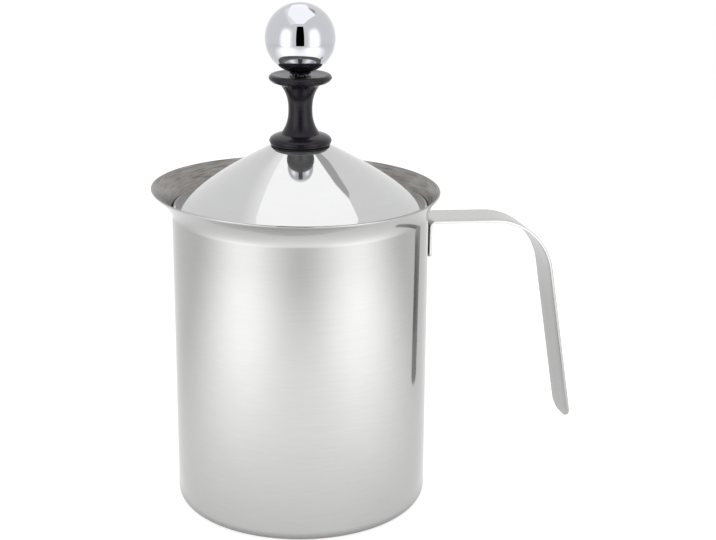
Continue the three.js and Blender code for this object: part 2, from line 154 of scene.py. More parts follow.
def rowOfPoints(tree, count, first, offset):
    inputs = {"Count": count, "Start Location": first, "Offset": offset}
    return addNode(tree, "GeometryNodeMeshLine", inputs, mode="OFFSET")


def wireAlong(tree, line, radius, sides):
    path = addNode(tree, "GeometryNodeMeshToCurve", {"Mesh": line})
    profile = addNode(tree, "GeometryNodeCurvePrimitiveCircle", {"Resolution": sides, "Radius": radius})
    inputs = {"Curve": path, "Profile Curve": profile, "Fill Caps": True}
    return addNode(tree, "GeometryNodeCurveToMesh", inputs)


def newPiece(name, mesh=None, finish=None):
    piece = bpy.data.objects.new(name, mesh or bpy.data.meshes.new(name))
    scene.collection.objects.link(piece)
    if finish:
        piece.data.materials.append(finish)
    return piece


# Runs a shape tree on a piece, keeps the result as its plain mesh and smooths that. Of the sizes it
# takes those that the tree has an input for.
def shaped(piece, tree, sizes):
    shaping = piece.modifiers.new("shape", "NODES")
    shaping.node_group = tree
    for socket in tree.interface.items_tree:
        if socket.in_out == "INPUT" and socket.name in sizes:
            value = sizes[socket.name]
            if socket.socket_type == "NodeSocketFloat":
                value *= mm if socket.subtype == "DISTANCE" else 1.0
            shaping[socket.identifier] = value
    ready = piece.evaluated_get(bpy.context.evaluated_depsgraph_get())
    solid = bpy.data.meshes.new_from_object(ready)
    piece.modifiers.remove(shaping)
    piece.data = smoothed(solid, sizes.get("smoothAngle", smoothAngle))
    solid.name = piece.name
    return piece


# Corners are in millimetres. A UV layer may go with them, with a place for each corner.
def newMesh(name, corners, faces, layerName=None, places=()):
    mesh = bpy.data.meshes.new(name)
    mesh.from_pydata([[part * mm for part in corner] for corner in corners], [], faces)
    if layerName:
        layer = mesh.uv_layers.new(name=layerName)
        for loop in mesh.loops:
            layer.data[loop.index].uv = places[loop.vertex_index % len(places)]
    return mesh


def smoothed(mesh, angle=smoothAngle):
    mesh.shade_smooth()
    mesh.set_sharp_from_angle(angle=math.radians(angle))
    return mesh


# Hangs a finished piece on its body and hides the nodes that it stands for.
def placed(piece, body, slotName, *nodes):
    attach(piece, body)
    if nodes:
        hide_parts(*nodes)


# Outlines are lists of (radius, height); a third number rounds that corner.
def rounded(corners, steps=5, closed=True):
    points = []
    for i, corner in enumerate(corners):
        here = Vector(corner[:2])
        atEnd = not closed and i in (0, len(corners) - 1)
        if len(corner) < 3 or atEnd:
            points.append(tuple(here))
            continue
        back = (Vector(corners[i - 1][:2]) - here).normalized()
        ahead = (Vector(corners[(i + 1) % len(corners)][:2]) - here).normalized()
        half = back.angle(ahead) / 2
        centre = here + (back + ahead).normalized() * (corner[2] / math.sin(half))
        first = here + back * (corner[2] / math.tan(half)) - centre
        turn = first.angle_signed(here + ahead * (corner[2] / math.tan(half)) - centre)
        for k in range(steps + 1):
            spoke = first.copy()
            spoke.rotate(Matrix.Rotation(-turn * k / steps, 2))
            points.append(tuple(centre + spoke))
    return points


def arcPoints(centre, radius, start, end, steps):
    angles = [math.radians(start + (end - start) * k / steps) for k in range(steps + 1)]
    return [(centre[0] + radius * math.cos(a), centre[1] + radius * math.sin(a)) for a in angles]


def curvePoint(first, control, last, share):
    return first * (1 - share) ** 2 + control * 2 * share * (1 - share) + last * share ** 2


# A smooth line through given points.
def smoothThrough(points, steps):
    def between(p, q, r, s, t):
        bend, twist = 2 * p - 5 * q + 4 * r - s, 3 * q - p - 3 * r + s
        return (2 * q + (r - p) * t + bend * t ** 2 + twist * t ** 3) / 2

    ends = [points[0], *points, points[-1]]
    path = []
    for four in zip(ends, ends[1:], ends[2:], ends[3:]):
        for k in range(steps):
            path.append(tuple(between(*values, k / steps) for values in zip(*four)))
    return path + [points[-1]]


# Turns an outline about the axis. The outline runs anticlockwise with the axis on its left, and trim
# may shorten a radius by its angle, which makes a hexagon.
def turnedMesh(name, outline, segments, closed=True, trim=None, angle=smoothAngle):
    corners, faces, rings = [], [], []
    for radius, height in outline:
        if radius < onAxis:
            rings.append([len(corners)] * segments)
            corners.append((0, 0, height))
            continue
        rings.append(range(len(corners), len(corners) + segments))
        for j in range(segments):
            around = 2 * math.pi * j / segments
            reach = trim(around, radius) if trim else radius
            corners.append((reach * math.cos(around), reach * math.sin(around), height))
    for low, high in zip(rings, [*rings[1:], rings[0]] if closed else rings[1:]):
        for j in range(segments):
            k = (j + 1) % segments
            face = list(dict.fromkeys([low[j], low[k], high[k], high[j]]))
            if len(face) > 2:
                faces.append(face)
    return smoothed(newMesh(name, corners, faces), angle)


# Turns an outline into a piece. The place is its body, its slot and the node that it stands for.
def addTurned(name, outline, segments, finish, *place, closed=True):
    placed(newPiece(name, turnedMesh(name, outline, segments, closed), finish), *place)


print("helpers ready")

# Finishes. A look has a colour, the roughness at the two ends of its noise, and a depth of relief.
# Noise on Object coordinates is stretched along the polishing marks.
noise = {
    "roughness": 0.6, "span": (0.3, 0.7), "toneSpan": (0.35, 0.65), "wearSpan": (0.35, 0.7),
    "streakShare": 0.75, "cloudShare": 0.25, "stretchTurn": 0.25,
}


def newFinish(name, look, metallic, **sockets):
    finish = bpy.data.materials.new(name)
    finish.use_nodes = True
    tree = finish.node_tree
    shader = tree.nodes["Principled BSDF"]
    values = {"Base Color": (*look["colour"], 1), "Metallic": metallic, **sockets}
    for key, value in values.items():
        shader.inputs[key].default_value = value
    return finish, tree, shader


def noiseValue(vector, scale=1.0, detail=2):
    inputs = {"Vector": vector, "Scale": scale, "Detail": detail, "Roughness": noise["roughness"]}
    return addNode(vector.tree, "ShaderNodeTexNoise", inputs)


def objectPlace(tree):
    return addNode(tree, "ShaderNodeTexCoord", output="Object")


# Links a finish to its fields: what sets its gloss, its relief, its colour's tone and its grain.
def dress(shader, look, gloss, relief, tone=None, tangent=None, strength=1.0):
    tree = gloss.tree
    bump = {"Height": relief, "Distance": look["relief"] * mm, "Strength": strength}
    fields = {
        "Roughness": fitRange(gloss, *noise["span"], *look["roughness"]),
        "Base Color": tone and joinVector(tree, *[tone * part for part in look["colour"]]),
        "Tangent": tangent,
        "Normal": addNode(tree, "ShaderNodeBump", bump),
    }
    for key, field in fields.items():
        if field:
            tree.links.new(field.socket, shader.inputs[key])


# Steel polished while it turned: fine rings round the axis, highlights drawn out across them.
# Below boreTop, where a look has one, a painted highlight makes it brighter, with fainter streaks and
# relief.
def turnedSteel(name, look):
    finish, tree, shader = newFinish(name, look, look.get("metal", 1.0), **{
        "Anisotropic": look["stretch"], "Anisotropic Rotation": noise["stretchTurn"],
    })
    place = objectPlace(tree)
    x, y, z = splitVector(place)
    across, along = 1 / (look["markLength"] * mm), 1 / (look["markWidth"] * mm)
    marks = joinVector(tree, x * across, y * across, (z + axisRadius(x, y)) * along)
    streaks = noiseValue(marks, detail=4)
    clouds = noiseValue(place, 1 / (look["cloudSize"] * mm))
    depth, highlightGain, strength = look["streakDepth"], 1.0, 1.0
    # Painted highlight: below boreTop the colour is brightened and the streaks and relief fade.
    if "boreTop" in look:
        depth, highlightGain, strength = [
            eased(z, look["boreTop"] * mm, look["boreEnd"] * mm, deep, plain)
            for deep, plain in zip(look["boreHighlightShares"], (depth, highlightGain, strength))
        ]
    tint = streaks * noise["streakShare"] + clouds * noise["cloudShare"]
    tone = fitRange(tint, *noise["toneSpan"], depth, 1.0) * highlightGain
    dress(shader, look, streaks, streaks, tone, joinVector(tree, y * -1, x, 0), strength)
    return finish


jugLook = {
    "colour": (0.45, 0.448, 0.445), "roughness": (0.07, 0.11), "stretch": 0.55,
    "markLength": 9, "markWidth": 0.35, "relief": 0.0012, "streakDepth": 0.95, "cloudSize": 14,
}
# The inside below boreTop carries a painted highlight: brighter, with fainter streaks and relief.
insideLook = {
    "colour": (0.35, 0.332, 0.316), "roughness": (0.22, 0.4), "stretch": 0.6,
    "markLength": 9, "markWidth": 0.6, "relief": 0.012, "streakDepth": 0.42, "cloudSize": 10,
    "boreTop": 111, "boreEnd": 117, "boreHighlightShares": (0.9, 2.1, 0.12),
}
lidLook = {
    "colour": (0.6, 0.6, 0.605), "metal": 0.86, "roughness": (0.035, 0.06), "stretch": 0.2,
    "markLength": 12, "markWidth": 0.6, "relief": 0.0006, "streakDepth": 0.98, "cloudSize": 20,
}
hardwareLook = {
    "colour": (0.5, 0.495, 0.487), "roughness": (0.16, 0.26), "stretch": 0.3,
    "markLength": 2.5, "markWidth": 0.25, "relief": 0.004, "streakDepth": 0.92, "cloudSize": 5,
}
wireLook = {
    **hardwareLook, "roughness": (0.22, 0.34), "stretch": 0.0, "markLength": 1.5, "markWidth": 1.2,
    "streakDepth": 0.85, "cloudSize": 4,
}
jugSteel = turnedSteel("jug_steel_satin", jugLook)
insideSteel = turnedSteel("jug_steel_brushed_inside", insideLook)
lidSteel = turnedSteel("lid_steel_mirror", lidLook)
hardwareSteel = turnedSteel("hardware_steel", hardwareLook)
wireSteel = turnedSteel("wire_steel", wireLook)


# The strap is brushed along its length, so its pattern follows its own UV map, in metres. Its colour is
# painted lighter over its top run than down its drop: a painted highlight on top, painted shade down the
# drop.
def brushedStrap(look):
    finish, tree, shader = newFinish("strap_steel_brushed", look, 1.0, Anisotropic=look["stretch"])
    across, along, _ = splitVector(addNode(tree, "ShaderNodeUVMap", uv_map="grain"))
    width, length = 1 / (look["markWidth"] * mm), 1 / (look["markLength"] * mm)
    streaks = noiseValue(joinVector(tree, across * width, along * length, 0), detail=4)
    # Painted highlight: the colour is raised over the top run and eases down to the plain colour on the
    # drop.
    topHighlight = eased(along, look["brightEnd"] * mm, look["plainStart"] * mm, look["topHighlightGain"])
    tone = fitRange(streaks, *noise["toneSpan"], look["streakDepth"], 1.0) * topHighlight
    dress(shader, look, streaks, streaks, tone, joinVector(tree, 0, 1, 0))
    return finish


# The top run's extra brightness is a painted highlight, fading out between brightEnd and plainStart.
strapLook = {
    "colour": (0.43, 0.428, 0.425), "topHighlightGain": 1.36, "brightEnd": 62, "plainStart": 98,
    "roughness": (0.18, 0.28), "stretch": 0.7,
    "markLength": 18, "markWidth": 0.35, "relief": 0.003, "streakDepth": 0.86,
}
strapSteel = brushedStrap(strapLook)


# Chrome plate: a mirror with the faintest unevenness.
def chromePlate(look):
    finish, tree, shader = newFinish("ball_chrome", look, 1.0)
    haze = noiseValue(objectPlace(tree), 1 / (look["hazeSize"] * mm), detail=3)
    dress(shader, look, haze, haze)
    return finish


chromeLook = {"colour": (0.555, 0.568, 0.6), "roughness": (0.015, 0.03), "hazeSize": 6, "relief": 0.0015}
ballChrome = chromePlate(chromeLook)


# Moulded black plastic and rubber: a fine grain, slightly uneven gloss.
def moulded(name, look):
    finish, tree, shader = newFinish(name, look, 0.0, **{"Specular IOR Level": look["specular"]})
    place = objectPlace(tree)
    grain = noiseValue(place, 1 / (look["grainSize"] * mm))
    clouds = noiseValue(place, 1 / (look["cloudSize"] * mm))
    dress(shader, look, clouds, grain, fitRange(clouds, *noise["wearSpan"], 1.0, look["wear"]))
    return finish


spoolLook = {
    "colour": (0.011, 0.0085, 0.0145), "roughness": (0.2, 0.3), "specular": 0.25, "wear": 1.25,
    "grainSize": 0.5, "relief": 0.012, "cloudSize": 5,
}
sealLook = {
    "colour": (0.008, 0.008, 0.009), "roughness": (0.55, 0.68), "specular": 0.35, "wear": 1.4,
    "grainSize": 0.4, "relief": 0.015, "cloudSize": 4,
}
spoolPlastic = moulded("spool_plastic_black", spoolLook)
sealRubber = moulded("seal_rubber_black", sealLook)
print("finishes ready")

# Jug: one drawn shell, its base pressed up inside a foot ring, its rim drawn into a pouring lip.
jug = {
    "radius": 50, "wall": 0.7, "baseCorner": 4.6, "throatHeight": 118, "flareHeight": 8.9,
    "flareReach": 4.6, "flareControlShare": 0.42, "lipReach": 3.4, "lipRise": 1.75, "lipSharpness": 1.94,
    "recessRadius": 37, "recessDepth": 0.45, "recessRun": 2, "recessRound": 0.8, "rimRoundShare": 0.975,
    "insideTilt": 0.05, "segments": 192, "flareSteps": 22, "wallSteps": 12, "cornerSteps": 10,
    "rimSteps": 8,
}


def flarePoint(share, depth):
    first = Vector((jug["radius"], jug["throatHeight"]))
    control = first + Vector((0, jug["flareHeight"] * jug["flareControlShare"]))
    last = first + Vector((jug["flareReach"], jug["flareHeight"]))
    along = ((control - first) * (1 - share) + (last - control) * share).normalized()
    return curvePoint(first, control, last, share) + Vector((-along.y, along.x)) * depth


def jugOutline():
    wall, radius, corner = jug["wall"], jug["radius"], jug["baseCorner"]
    steps, lastShare = jug["flareSteps"], jug["rimRoundShare"]
    recess, depth, ease = jug["recessRadius"], jug["recessDepth"], jug["recessRound"]
    slopeEnd, centre = recess - jug["recessRun"], (radius - corner, corner)
    shares = [lastShare * k / steps for k in range(steps + 1)]
    mouth, inner = flarePoint(lastShare, 0), flarePoint(lastShare, wall)
    rim = []
    for k in range(1, jug["rimSteps"]):
        spoke = (mouth - inner) / 2
        spoke.rotate(Matrix.Rotation(math.pi * k / jug["rimSteps"], 2))
        rim.append((mouth + inner) / 2 + spoke)
    under = [(0, depth), (slopeEnd, depth, ease), (recess, 0, ease), (radius - corner, 0)]
    floor = [(r, h + wall, *turn) for r, h, *turn in reversed(under)]
    rise = (jug["throatHeight"] - corner) / jug["wallSteps"]
    walls = [(radius, corner + rise * k) for k in range(1, jug["wallSteps"])]
    return [
        *rounded(under, closed=False)[:-1],
        *arcPoints(centre, corner, -90, 0, jug["cornerSteps"]), *walls,
        *[flarePoint(share, 0) for share in shares], *rim,
        *[flarePoint(share, wall) for share in reversed(shares)],
        *[(radius - wall, height) for _, height in reversed(walls)],
        *arcPoints(centre, corner - wall, 0, -90, jug["cornerSteps"]),
        *rounded(floor, closed=False)[1:],
    ]


# The rule of the lip: points are pushed out and up, more towards -X and more near the rim.
def lipTree():
    lengths = "throatHeight", "flareHeight", "lipReach", "lipRise"
    numbers, finishes = ("lipSharpness", "insideTilt"), ("finish", "insideFinish")
    tree, start = newShapeTree("pouringLip", lengths, numbers, finishes=finishes)
    x, y, z = splitVector(addNode(tree, "GeometryNodeInputPosition"))
    radius = axisRadius(x, y)
    climb = calc(tree, "MAXIMUM", (z - start["throatHeight"]) / start["flareHeight"], 0)
    facing = (1 - x / radius) * 0.5
    push = facing ** start["lipSharpness"] * (climb * climb)
    reach = start["lipReach"] * push / radius
    offset = joinVector(tree, x * reach, y * reach, start["lipRise"] * push)
    nx, ny, nz = splitVector(addNode(tree, "GeometryNodeInputNormal"))
    upward = calc(tree, "GREATER_THAN", nz - (nx * x + ny * y) / radius, start["insideTilt"])
    return endTree(tree, start, movedBy(tree, start["Geometry"], offset), "insideFinish", upward)


jugBlank = turnedMesh("jug_blank", jugOutline(), jug["segments"], closed=False)
jugSizes = {**jug, "finish": jugSteel, "insideFinish": insideSteel}
jugShell = shaped(newPiece("jug_shell_drawn", jugBlank), lipTree(), jugSizes)
placed(jugShell, "jug", "jug_steel", "jug_shell")
print("jug ready")

# Handle: one bent strap with eased edges. It is followed along its outer face, from the tab up.
# grainShift sets the outer face's pattern apart from the inner face's.
strap = {
    "width": 17.3, "thickness": 1.2, "topHeight": 113.3, "topRun": 25.2, "topFall": 2.55,
    "bendRadius": 26.8, "dropLean": 9.3, "dropLength": 67.5, "endRun": 5, "endCut": 7, "tabHeight": 15,
    "tabBendRadius": 2.2, "tabCorner": 2, "weldGap": 0.3, "edgeRound": 0.42, "edgeStops": (0.3, 0.65),
    "cornerSteps": 10, "tabBendSteps": 10, "topSteps": 6, "bendSteps": 36, "arcSteps": 3, "faceSteps": 4,
    "grainShift": 50, "smoothAngle": 40,
}


def strapStations():
    size = strap
    place = Vector((jug["radius"] + size["weldGap"], size["topHeight"] - size["tabHeight"]))
    heading, walked = quarterTurn, 0.0
    stations = [(place.copy(), heading, walked)]

    def straight(length, stops):
        nonlocal place, walked
        begin, origin = place.copy(), walked
        for stop in stops:
            place = begin + Vector((math.cos(heading), math.sin(heading))) * length * stop
            walked = origin + length * stop
            stations.append((place.copy(), heading, walked))

    def bend(radius, angle, steps):
        nonlocal place, heading, walked
        chord = 2 * radius * math.sin(abs(angle) / steps / 2)
        for _ in range(steps):
            heading += angle / steps / 2
            place = place + Vector((math.cos(heading), math.sin(heading))) * chord
            heading += angle / steps / 2
            walked += radius * abs(angle) / steps
            stations.append((place.copy(), heading, walked))

    def cornerStops(length, corner, atStart):
        turns = [quarterTurn * k / size["cornerSteps"] for k in range(1, size["cornerSteps"] + 1)]
        insets = [corner * (1 - math.cos(turn)) / length for turn in turns]
        insets = sorted(insets + [size["edgeRound"] * stop / length for stop in size["edgeStops"]])
        return [*insets, 1] if atStart else [*sorted(1 - inset for inset in insets), 1]

    fall, lean = math.radians(size["topFall"]), math.radians(size["dropLean"])
    tabStraight = size["tabHeight"] - size["tabBendRadius"]
    straight(tabStraight, cornerStops(tabStraight, size["tabCorner"], True))
    bend(size["tabBendRadius"], -(quarterTurn + fall), size["tabBendSteps"])
    straight(size["topRun"], [k / size["topSteps"] for k in range(1, size["topSteps"] + 1)])
    bend(size["bendRadius"], fall + lean - quarterTurn, size["bendSteps"])
    straight(size["dropLength"], cornerStops(size["dropLength"], size["endRun"], False))
    return stations


def strapMesh():
    size = strap
    stations = strapStations()
    whole = stations[-1][2]
    corners, faces, grain = [], [], []
    edge, faceSteps = size["edgeRound"], size["faceSteps"]

    def endCut(distance, run, depth):
        return 0 if distance >= run else depth * (1 - math.sqrt(max(0, 1 - (1 - distance / run) ** 2)))

    for place, heading, walked in stations:
        tabCut = endCut(walked, size["tabCorner"], size["tabCorner"])
        side = size["width"] / 2 - tabCut - endCut(whole - walked, size["endRun"], size["endCut"])
        half = size["thickness"] / 2 - endCut(min(walked, whole - walked), edge, edge)
        ease = min(edge, half)
        inward = Vector((math.sin(heading), -math.cos(heading)))
        centre = place + inward * size["thickness"] / 2
        ring = []
        for quarter, (toSide, toFace) in enumerate([(1, -1), (1, 1), (-1, 1), (-1, -1)]):
            middle = Vector((toSide * (side - ease), toFace * (half - ease)))
            ring += [middle + Vector(spoke) for spoke in arcPoints(
                (0, 0), ease, quarter * 90 - 90, quarter * 90, size["arcSteps"],
            )]
            if quarter in (1, 3):
                begin, finish = ring[-1], Vector((-toSide * (side - ease), ring[-1].y))
                ring += [begin.lerp(finish, k / faceSteps) for k in range(1, faceSteps)]
        for sideways, depth in ring:
            point = centre + inward * depth
            corners.append((point.x, sideways, point.y))
            grain.append(((sideways + (size["grainShift"] if depth > 0 else 0)) * mm, walked * mm))
    count = len(ring)
    for i in range(len(stations) - 1):
        for j in range(count):
            a, b = i * count + j, i * count + (j + 1) % count
            faces.append((a, b, b + count, a + count))
    last = (len(stations) - 1) * count
    faces.append(tuple(reversed(range(count))))
    faces.append(tuple(range(last, last + count)))
    mesh = newMesh("handle_strap_bent", corners, faces, "grain", grain)
    return smoothed(mesh, size["smoothAngle"])


handleStrap = newPiece("handle_strap_bent", strapMesh(), strapSteel)
placed(handleStrap, "jug", "strap_steel", "handle_strap")

# Spot welds: four shallow craters on the tab, set out on a small grid. An outline's shares are of
# the crater's radius and rise.
weld = {
    "radius": 1.7, "rise": 0.1, "across": 7, "apart": 5, "firstHeight": 102.6, "columns": 2, "rows": 2,
    "segments": 24, "smoothAngle": 60,
    "shares": [(0, -1.5), (0.8, -1.5), (1, 0), (0.86, 1), (0.6, 0.7), (0.4, 0.2), (0, 0.15)],
}


def weldTree():
    lengths = "face", "firstHeight", "across", "apart"
    tree, start = newShapeTree("spotWelds", lengths, counts=("columns", "rows"))
    grid = addNode(tree, "GeometryNodeMeshGrid", {
        "Size X": start["across"], "Size Y": start["apart"],
        "Vertices X": start["columns"], "Vertices Y": start["rows"],
    })
    points = addNode(tree, "GeometryNodeTransform", {
        "Geometry": grid, "Rotation": (quarterTurn, 0, quarterTurn),
        "Translation": joinVector(tree, start["face"], 0, start["firstHeight"] + start["apart"] * 0.5),
    })
    crater = addNode(tree, "GeometryNodeTransform", {
        "Geometry": start["Geometry"], "Rotation": (0, quarterTurn, 0),
    })
    copies = addNode(tree, "GeometryNodeInstanceOnPoints", {"Points": points, "Instance": crater})
    return endTree(tree, start, copies)


weldOutline = [(r * weld["radius"], h * weld["rise"]) for r, h in weld["shares"]]
weldCrater = turnedMesh("weld_crater", weldOutline, weld["segments"], closed=False)
tabFace = jug["radius"] + strap["weldGap"] + strap["thickness"]
weldSizes = {**weld, "face": tabFace, "finish": hardwareSteel}
spotWelds = shaped(newPiece("handle_spot_welds", weldCrater), weldTree(), weldSizes)
placed(spotWelds, "jug", "strap_steel")
print("handle ready")

# Lid: a pressed cone with an eased edge that sits in the flare, and a skirt that reaches down.
lid = {
    "wall": 0.7, "topRadius": 11.6, "coneRise": 23.15, "coneBulge": 0.85, "brim": 0.9,
    "edgeOverhang": 0.2, "edgeThickness": 0.8, "skirtClearance": 0.45, "skirtDepth": 8.8, "hole": 4.4,
    "shoulderRound": 0.7, "edgeRound": 0.36, "skirtRound": 0.3, "seatRound": 0.15, "footRound": 0.25,
    "underRound": 0.8, "coneSteps": 24, "segments": 192,
}


def conePoints(upper, lower):
    top, bottom = Vector(upper), Vector(lower)
    along = (bottom - top).normalized()
    control = (top + bottom) / 2 + Vector((-along.y, along.x)) * 2 * lid["coneBulge"]
    steps = lid["coneSteps"]
    return [curvePoint(top, control, bottom, k / steps) for k in range(steps + 1)]


def lidOutline():
    low, wall, hole = endsOf("lid_cone")[0], lid["wall"], lid["hole"]
    seat, bore = low + lid["skirtDepth"], jug["radius"] - jug["wall"]
    skirt, edge = bore - lid["skirtClearance"], bore + lid["edgeOverhang"]
    inner, foot, edgeTop = skirt - wall, edge - lid["brim"], seat + lid["edgeThickness"]
    top = edgeTop + lid["coneRise"]
    slope = math.atan2(lid["coneRise"], foot - lid["topRadius"])
    underEnd = edgeTop + (foot - inner) * math.tan(slope) - wall / math.cos(slope)
    outside = conePoints((lid["topRadius"], top), (foot, edgeTop))
    inside = conePoints((lid["topRadius"] - wall * math.tan(slope / 2), top - wall), (inner, underEnd))
    lowerEdge = rounded([
        (inner, seat), (inner, low, lid["skirtRound"]), (skirt, low, lid["skirtRound"]),
        (skirt, seat, lid["seatRound"]), (edge, seat, lid["edgeRound"]),
        (edge, edgeTop, lid["edgeRound"]), (*outside[-1], lid["footRound"]), outside[-2],
    ], closed=False)
    shoulder = rounded([outside[1], (*outside[0], lid["shoulderRound"]), (hole, top)], closed=False)
    under = rounded([(hole, top - wall), (*inside[0], lid["underRound"]), inside[1]], closed=False)
    return [*lowerEdge[1:], *reversed(outside[2:-2]), *shoulder, *under, *inside[2:]]


addTurned("lid_cone_pressed", lidOutline(), lid["segments"], lidSteel, "lid", "lid_steel", "lid_cone")

# Guide spool: foot, waist and top flange of one black moulding, on its thin seal. The shares are of a
# flange's radius and height.
spool = {
    "footRadius": 12.05, "footHeight": 4.2, "neckRadius": 7.5, "waistRadius": 4.62, "waistHeight": 18.8,
    "waistPower": 2.4, "waistSteps": 40, "topRadius": 12.05, "topHeight": 4.2, "bore": 2.9, "boreEase": 0.4,
    "socket": 4.4, "socketDepth": 6.3, "dishDepth": 0.25, "flangeSteps": 5, "segments": 144,
    "footShares": [(0.87, 0), (0.955, 0.06), (1, 0.32), (0.98, 0.53), (0.92, 0.7), (0.82, 0.84)],
    "topShares": [(0.74, 0.17), (0.9, 0.32), (1, 0.61), (0.99, 0.8), (0.945, 0.94), (0.87, 1)],
    "dishShares": [(0.8, 0.4), (0.6, 1)],
}


def flange(name, base):
    radius, height = spool[name + "Radius"], spool[name + "Height"]
    points = [(r * radius, base + h * height) for r, h in spool[name + "Shares"]]
    return smoothThrough(points, spool["flangeSteps"])


def spoolOutline():
    size = spool
    base = endsOf("guide_spool")[0]
    neck = base + size["footHeight"]
    topBase = neck + size["waistHeight"]
    total = topBase + size["topHeight"]
    waist = []
    for k in range(size["waistSteps"] + 1):
        along = 2 * k / size["waistSteps"] - 1
        spread = (size["neckRadius"] - size["waistRadius"]) * abs(along) ** size["waistPower"]
        waist.append((size["waistRadius"] + spread, neck + size["waistHeight"] * (1 + along) / 2))
    dish = [(size["topRadius"] * r, total - size["dishDepth"] * h) for r, h in size["dishShares"]]
    bore, ease, dishFloor = size["bore"], size["boreEase"], total - size["dishDepth"]
    socketTop = base + size["socketDepth"]
    return [
        (size["socket"], base), *flange("foot", base), *waist, *flange("top", topBase), *dish,
        (bore + ease, dishFloor), (bore, dishFloor - ease), (bore, socketTop),
        (size["socket"], socketTop),
    ]


addTurned(
    "guide_spool_moulded", spoolOutline(), spool["segments"], spoolPlastic,
    "lid", "spool_plastic", "guide_spool",
)


# A washer, seal or sleeve with eased edges, at the height of the node that it stands for.
def addRing(name, node, size, finish, *place):
    (low, high), ease = endsOf(node), size["ease"]
    outline = rounded([
        (size["bore"], low, ease), (size["radius"], low, ease),
        (size["radius"], high, ease), (size["bore"], high, ease),
    ], steps=4)
    addTurned(name, outline, size["segments"], finish, *place, node)


seal = {"radius": 11.35, "bore": 4.4, "ease": 0.25, "segments": 128}
addRing("guide_seal_washer", "guide_seal", seal, sealRubber, "lid", "seal_rubber")
print("lid and spool ready")

# Threads: a ridge that climbs round the axis, cut into the outside between two heights.
thread = {"pitch": 0.8, "depth": 0.38, "stepsPerPitch": 8, "smoothAngle": 60}


def threadTree():
    tree, start = newShapeTree("screwThread", ("pitch", "depth", "lowEnd", "highEnd", "innerLimit"))
    x, y, z = splitVector(addNode(tree, "GeometryNodeInputPosition"))
    radius, pitch, low, high = axisRadius(x, y), start["pitch"], start["lowEnd"], start["highEnd"]
    turn = z / pitch - calc(tree, "ARCTAN2", y, x) / (2 * math.pi)
    ridge = calc(tree, "PINGPONG", turn, 0.5) * 2
    fade = fitRange(z, low, low + pitch, 0, 1) * fitRange(z, high - pitch, high, 1, 0)
    outside = calc(tree, "GREATER_THAN", radius, start["innerLimit"])
    inward = ridge * fade * outside * start["depth"] * -1 / radius
    offset = joinVector(tree, x * inward, y * inward, 0)
    return endTree(tree, start, movedBy(tree, start["Geometry"], offset))


screwThread = threadTree()


def threadHeights(low, high):
    count = math.ceil((high - low) / thread["pitch"] * thread["stepsPerPitch"])
    return [low + (high - low) * k / count for k in range(count + 1)]


# Cuts a thread over each span of heights, where the radius is more than the limit.
def threaded(name, mesh, limit, *spans):
    piece = newPiece(name, mesh)
    for low, high in spans:
        span = {"lowEnd": low, "highEnd": high, "innerLimit": limit, "finish": hardwareSteel}
        shaped(piece, screwThread, {**thread, **span})
    return piece


# Bush: a hollow threaded stud that stands in the spool and carries the washer and nut under the lid.
bush = {"bore": 2.9, "radius": 4.1, "tailLength": 8.5, "ease": 0.2, "segments": 48}


def bushPiece():
    low, high = endsOf("guide_bush")
    bore, radius, ease = bush["bore"], bush["radius"], bush["ease"]
    span = (low + ease, low + bush["tailLength"])
    outline = [
        (bore, low + ease), (bore + ease, low), (radius - ease, low),
        *[(radius, height) for height in threadHeights(*span)],
        (radius, high - ease), (radius - ease, high), (bore, high),
    ]
    mesh = turnedMesh("guide_bush_threaded", outline, bush["segments"])
    return threaded("guide_bush_threaded", mesh, (bore + radius) / 2, span)


placed(bushPiece(), "lid", "fastener_steel", "guide_bush")

# Washers and nuts. A nut's corners are chamfered and its bore is countersunk.
lidWasher = {"bore": 4.25, "radius": 8.5, "ease": 0.22, "segments": 96}
rodWasher = {"bore": 2.7, "radius": 6, "ease": 0.2, "segments": 96}
lidNut = {"flats": 12, "bore": 4.2}
rodNut = {"flats": 8, "bore": 2.55, "domeRise": 1.8, "domeInset": 0.1, "domeStep": 9, "capDepth": 3.2}
chamfer = {"startShare": 0.96, "angle": 30, "steps": 5, "sink": 0.35, "segments": 96, "smoothAngle": 24}


def hexSides(flats, low, high):
    corner, first, steps = flats / math.sqrt(3), flats / 2 * chamfer["startShare"], chamfer["steps"]
    rise = (corner - first) * math.tan(math.radians(chamfer["angle"]))
    lower = [(first + (corner - first) * k / steps, low + rise * k / steps) for k in range(steps + 1)]
    return lower + [(radius, high - (height - low)) for radius, height in reversed(lower)]


# A nut is bored right through, or capped by a dome underneath.
def addNut(name, node, body, size, capped=False):
    flats, bore, sink, halfSide = size["flats"], size["bore"], chamfer["sink"], math.pi / 6
    low, high = endsOf(node)
    under, inside = [(bore, low + sink), (bore + sink, low)], []
    if capped:
        reach, rise, depth = flats / 2 - size["domeInset"], size["domeRise"], high - size["capDepth"]
        angles = [math.radians(angle) for angle in range(0, 91, size["domeStep"])]
        under = [(reach * math.sin(a), low + rise * (1 - math.cos(a))) for a in angles]
        low, inside = low + rise, [(bore, depth), (0, depth)]
    outline = [*under, *hexSides(flats, low, high), (bore + sink, high), (bore, high - sink), *inside]

    def trim(around, radius):
        offFlat = (around + halfSide) % (2 * halfSide) - halfSide
        return min(radius, flats / 2 / math.cos(abs(abs(offFlat) - halfSide)))

    mesh = turnedMesh(name, outline, chamfer["segments"], not capped, trim, chamfer["smoothAngle"])
    placed(newPiece(name, mesh, hardwareSteel), body, "fastener_steel", node)


